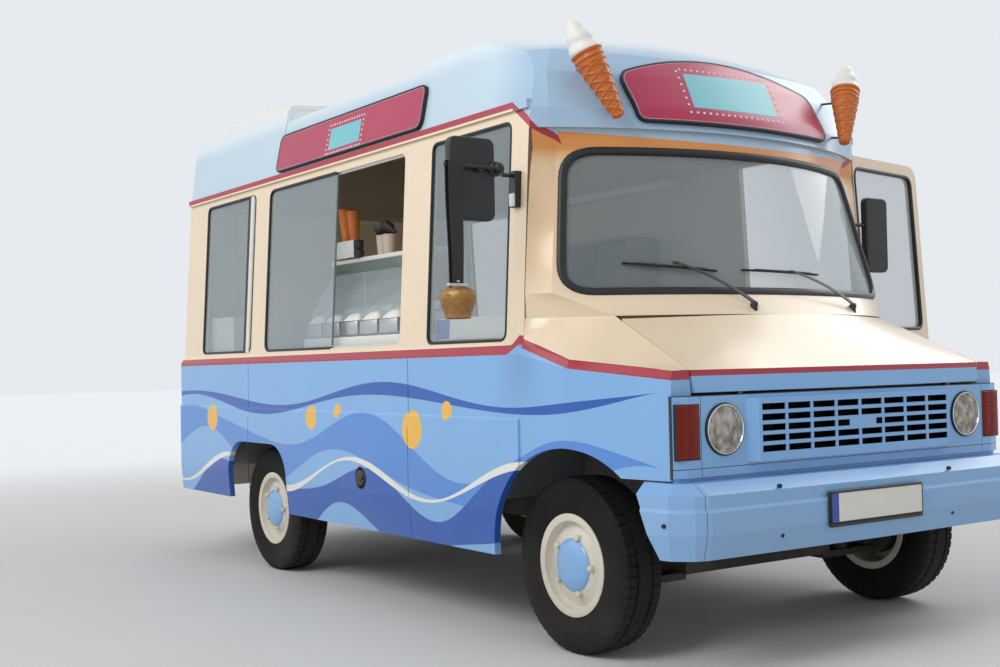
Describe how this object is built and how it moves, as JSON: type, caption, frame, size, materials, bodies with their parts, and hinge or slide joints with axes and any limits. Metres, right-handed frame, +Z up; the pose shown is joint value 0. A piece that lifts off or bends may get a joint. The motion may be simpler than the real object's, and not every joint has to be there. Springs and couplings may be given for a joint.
{
  "type": "ice cream truck",
  "caption": "Coachbuilt ice cream truck on a light van chassis, with a serving hatch, raised roof, roof cones, steering front wheels, a swinging driver's door and a lifting bonnet.",
  "frame": {"origin": "on the ground below the middle of the box that the truck fills with its driver's door open", "axes": "+X forward, +Y to the truck's left, +Z up"},
  "size_m": [4.653, 3.1884, 2.6398],
  "materials": {
    "chassis_black": "satin, road dust",
    "engine_iron": "matt",
    "exhaust_steel": "dull, browned",
    "tank_black": "satin",
    "floor_sheet": "satin",
    "side_paint": "gloss, blue below and cream above",
    "roof_paint": "gloss",
    "cream_paint": "gloss",
    "wing_paint": "gloss, blue side and cream shoulder",
    "bonnet_paint": "gloss",
    "blue_paint": "gloss",
    "lamp_glass": "clear ribbed lens over a reflector",
    "lamp_amber": "moulded",
    "tail_red": "moulded",
    "plate_white": "satin, blank",
    "clear_glass": "clear",
    "counter_white": "satin laminate",
    "seat_vinyl": "black vinyl",
    "dash_plastic": "grained",
    "cone_plastic": "moulded cone with a white swirl",
    "sign_red": "red panel in a black rubber frame",
    "mirror_black": "black",
    "bell_brass": "aged",
    "tyre_rubber": "black",
    "wheel_paint": "cream rim, blue cap"
  },
  "bodies": {
    "body": {"chassis_frame": "chassis_black", "engine_block": "engine_iron", "driveline": "chassis_black", "front_suspension": "chassis_black", "rear_axle": "chassis_black", "exhaust": "exhaust_steel", "fuel_tank": "tank_black", "floor": "floor_sheet", "wheel_boxes": "floor_sheet", "engine_cover": "floor_sheet", "side_wall_right": "side_paint", "side_wall_left": "side_paint", "rear_wall": "side_paint", "roof": "roof_paint", "cab_front": "cream_paint", "wings": "wing_paint", "front_panel": "blue_paint", "headlamps": "lamp_glass", "indicators": "lamp_amber", "front_bumper": "blue_paint", "rear_bumper": "blue_paint", "number_plates": "plate_white", "windscreen": "clear_glass", "body_glass": "clear_glass", "counter_units": "counter_white", "seats": "seat_vinyl", "dashboard": "dash_plastic", "roof_cones": "cone_plastic", "sign_panels": "sign_red", "mirrors": "mirror_black", "bell": "bell_brass", "wipers": "mirror_black", "tail_lamps": "tail_red"},
    "knuckle_right_body": {"knuckle_right": "chassis_black"},
    "knuckle_left_body": {"knuckle_left": "chassis_black"},
    "bonnet_body": {"bonnet": "bonnet_paint"},
    "door_body": {"driver_door": "side_paint", "door_glass": "clear_glass"},
    "steering_wheel_body": {"steering_wheel": "dash_plastic"},
    "wheel_front_right": {"tyre_front_right": "tyre_rubber", "rim_front_right": "wheel_paint"},
    "wheel_front_left": {"tyre_front_left": "tyre_rubber", "rim_front_left": "wheel_paint"},
    "wheel_rear_right": {"tyre_rear_right": "tyre_rubber", "rim_rear_right": "wheel_paint"},
    "wheel_rear_left": {"tyre_rear_left": "tyre_rubber", "rim_rear_left": "wheel_paint"}
  },
  "joints": [
    {"name": "steer_right", "type": "hinge", "parent": "body", "child": "knuckle_right_body", "pos_m": [1.598, -0.9, 0.338], "axis": [0, 0, 1], "range_deg": [-30, 30]},
    {"name": "steer_left", "type": "hinge", "parent": "body", "child": "knuckle_left_body", "pos_m": [1.598, 0.584, 0.338], "axis": [0, 0, 1], "range_deg": [-30, 30]},
    {"name": "steering_wheel_turn", "type": "hinge", "parent": "body", "child": "steering_wheel_body", "pos_m": [1.203, 0.312, 1.25], "axis": [-0.6157, 0, 0.788], "range_deg": [-480, 480]},
    {"name": "door_swing", "type": "hinge", "parent": "body", "child": "door_body", "pos_m": [1.407, 0.895, 1], "axis": [0, 0, 1], "range_deg": [0, 79]},
    {"name": "bonnet_lift", "type": "hinge", "parent": "body", "child": "bonnet_body", "pos_m": [1.888, -0.158, 1.29], "axis": [0, -1, 0], "range_deg": [0, 50]},
    {"name": "roll_front_right", "type": "hinge", "parent": "knuckle_right_body", "child": "wheel_front_right", "pos_m": [1.598, -1.0155, 0.338], "axis": [0, 1, 0], "continuous": true},
    {"name": "roll_front_left", "type": "hinge", "parent": "knuckle_left_body", "child": "wheel_front_left", "pos_m": [1.598, 0.6995, 0.338], "axis": [0, 1, 0], "continuous": true},
    {"name": "roll_rear_right", "type": "hinge", "parent": "body", "child": "wheel_rear_right", "pos_m": [-1.094, -1.0155, 0.338], "axis": [0, 1, 0], "continuous": true},
    {"name": "roll_rear_left", "type": "hinge", "parent": "body", "child": "wheel_rear_left", "pos_m": [-1.094, 0.6995, 0.338], "axis": [0, 1, 0], "continuous": true}
  ],
  "couplings": [
    {"joint": "steer_left", "follows": "steer_right", "ratio": 1},
    {"joint": "steering_wheel_turn", "follows": "steer_right", "ratio": 16}
  ]
}
